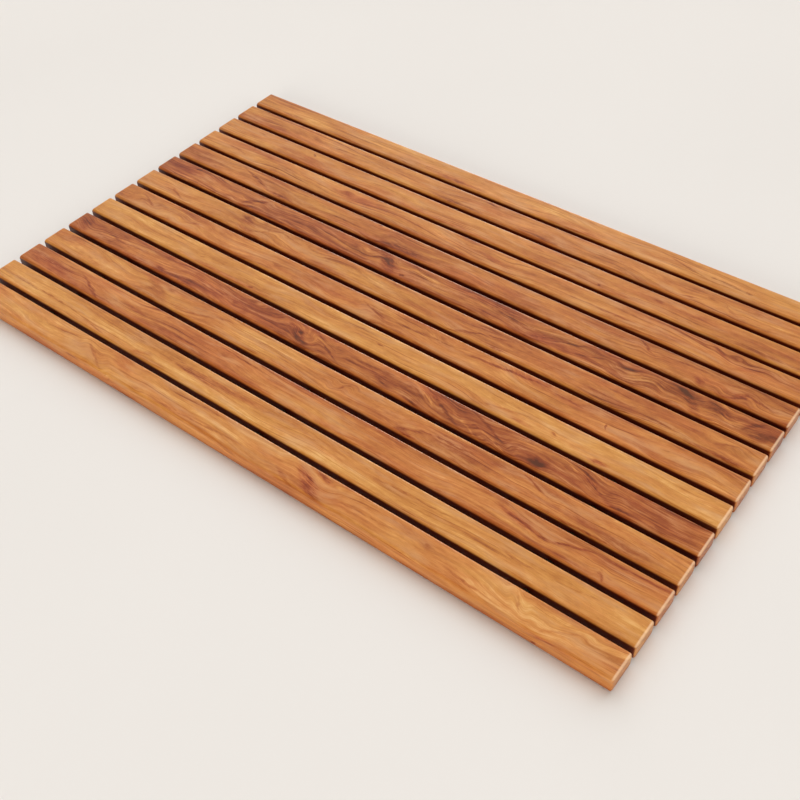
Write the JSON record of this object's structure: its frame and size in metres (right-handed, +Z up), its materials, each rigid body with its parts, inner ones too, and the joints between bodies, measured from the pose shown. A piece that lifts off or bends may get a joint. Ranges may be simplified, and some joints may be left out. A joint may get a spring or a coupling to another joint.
{
  "type": "bath mat",
  "caption": "Roll-up slatted wooden bath mat: parallel round-edged slats strung on cords, with spacers in the gaps and grip pads underneath.",
  "frame": {"origin": "on the floor, under the middle of the mat", "axes": "+X along the slats, +Y from the front slat to the back slat, +Z up"},
  "size_m": [0.8, 0.495, 0.018],
  "materials": {
    "teak_01": "satin oiled teak",
    "teak_02": "satin oiled teak",
    "teak_03": "satin oiled teak",
    "teak_04": "satin oiled teak",
    "teak_05": "satin oiled teak",
    "teak_06": "satin oiled teak",
    "teak_07": "satin oiled teak",
    "teak_08": "satin oiled teak",
    "teak_09": "satin oiled teak",
    "teak_10": "satin oiled teak",
    "teak_11": "satin oiled teak",
    "teak_12": "satin oiled teak",
    "teak_13": "satin oiled teak",
    "teak_14": "satin oiled teak",
    "rubber": "matte",
    "cord": "braided, matte"
  },
  "bodies": {
    "slat_01_body": {"slat_01": "teak_01", "grip_pads_01": "rubber", "cord_run_01": "cord", "spacers_01": "rubber", "cord_knots_front": "cord"},
    "slat_02_body": {"slat_02": "teak_02", "grip_pads_02": "rubber", "cord_run_02": "cord", "spacers_02": "rubber"},
    "slat_03_body": {"slat_03": "teak_03", "grip_pads_03": "rubber", "cord_run_03": "cord", "spacers_03": "rubber"},
    "slat_04_body": {"slat_04": "teak_04", "grip_pads_04": "rubber", "cord_run_04": "cord", "spacers_04": "rubber"},
    "slat_05_body": {"slat_05": "teak_05", "grip_pads_05": "rubber", "cord_run_05": "cord", "spacers_05": "rubber"},
    "slat_06_body": {"slat_06": "teak_06", "grip_pads_06": "rubber", "cord_run_06": "cord", "spacers_06": "rubber"},
    "slat_07_body": {"slat_07": "teak_07", "grip_pads_07": "rubber", "cord_run_07": "cord", "spacers_07": "rubber"},
    "slat_08_body": {"slat_08": "teak_08", "grip_pads_08": "rubber", "cord_run_08": "cord", "spacers_08": "rubber"},
    "slat_09_body": {"slat_09": "teak_09", "grip_pads_09": "rubber", "cord_run_09": "cord", "spacers_09": "rubber"},
    "slat_10_body": {"slat_10": "teak_10", "grip_pads_10": "rubber", "cord_run_10": "cord", "spacers_10": "rubber"},
    "slat_11_body": {"slat_11": "teak_11", "grip_pads_11": "rubber", "cord_run_11": "cord", "spacers_11": "rubber"},
    "slat_12_body": {"slat_12": "teak_12", "grip_pads_12": "rubber", "cord_run_12": "cord", "spacers_12": "rubber"},
    "slat_13_body": {"slat_13": "teak_13", "grip_pads_13": "rubber", "cord_run_13": "cord", "spacers_13": "rubber"},
    "slat_14_body": {"slat_14": "teak_14", "grip_pads_14": "rubber", "cord_run_14": "cord", "cord_knots_back": "cord"}
  },
  "joints": [
    {"name": "fold_01_02", "type": "hinge", "parent": "slat_01_body", "child": "slat_02_body", "pos_m": [0, -0.2145, 0.00925], "axis": [1, 0, 0], "range_deg": [-23, 25]},
    {"name": "fold_02_03", "type": "hinge", "parent": "slat_02_body", "child": "slat_03_body", "pos_m": [0, -0.17875, 0.00925], "axis": [1, 0, 0], "range_deg": [-23.5, 26]},
    {"name": "fold_03_04", "type": "hinge", "parent": "slat_03_body", "child": "slat_04_body", "pos_m": [0, -0.143, 0.00925], "axis": [1, 0, 0], "range_deg": [-24, 26.5]},
    {"name": "fold_04_05", "type": "hinge", "parent": "slat_04_body", "child": "slat_05_body", "pos_m": [0, -0.10725, 0.00925], "axis": [1, 0, 0], "range_deg": [-25, 27.5]},
    {"name": "fold_05_06", "type": "hinge", "parent": "slat_05_body", "child": "slat_06_body", "pos_m": [0, -0.0715, 0.00925], "axis": [1, 0, 0], "range_deg": [-25.5, 28.5]},
    {"name": "fold_06_07", "type": "hinge", "parent": "slat_06_body", "child": "slat_07_body", "pos_m": [0, -0.03575, 0.00925], "axis": [1, 0, 0], "range_deg": [-26, 29]},
    {"name": "fold_07_08", "type": "hinge", "parent": "slat_07_body", "child": "slat_08_body", "pos_m": [0, 0, 0.00925], "axis": [1, 0, 0], "range_deg": [-26.5, 30]},
    {"name": "fold_08_09", "type": "hinge", "parent": "slat_08_body", "child": "slat_09_body", "pos_m": [0, 0.03575, 0.00925], "axis": [1, 0, 0], "range_deg": [-27, 31]},
    {"name": "fold_09_10", "type": "hinge", "parent": "slat_09_body", "child": "slat_10_body", "pos_m": [0, 0.0715, 0.00925], "axis": [1, 0, 0], "range_deg": [-27.5, 31.5]},
    {"name": "fold_10_11", "type": "hinge", "parent": "slat_10_body", "child": "slat_11_body", "pos_m": [0, 0.10725, 0.00925], "axis": [1, 0, 0], "range_deg": [-28, 32.5]},
    {"name": "fold_11_12", "type": "hinge", "parent": "slat_11_body", "child": "slat_12_body", "pos_m": [0, 0.143, 0.00925], "axis": [1, 0, 0], "range_deg": [-29, 33.5]},
    {"name": "fold_12_13", "type": "hinge", "parent": "slat_12_body", "child": "slat_13_body", "pos_m": [0, 0.17875, 0.00925], "axis": [1, 0, 0], "range_deg": [-29.5, 34]},
    {"name": "fold_13_14", "type": "hinge", "parent": "slat_13_body", "child": "slat_14_body", "pos_m": [0, 0.2145, 0.00925], "axis": [1, 0, 0], "range_deg": [-30, 35]}
  ]
}
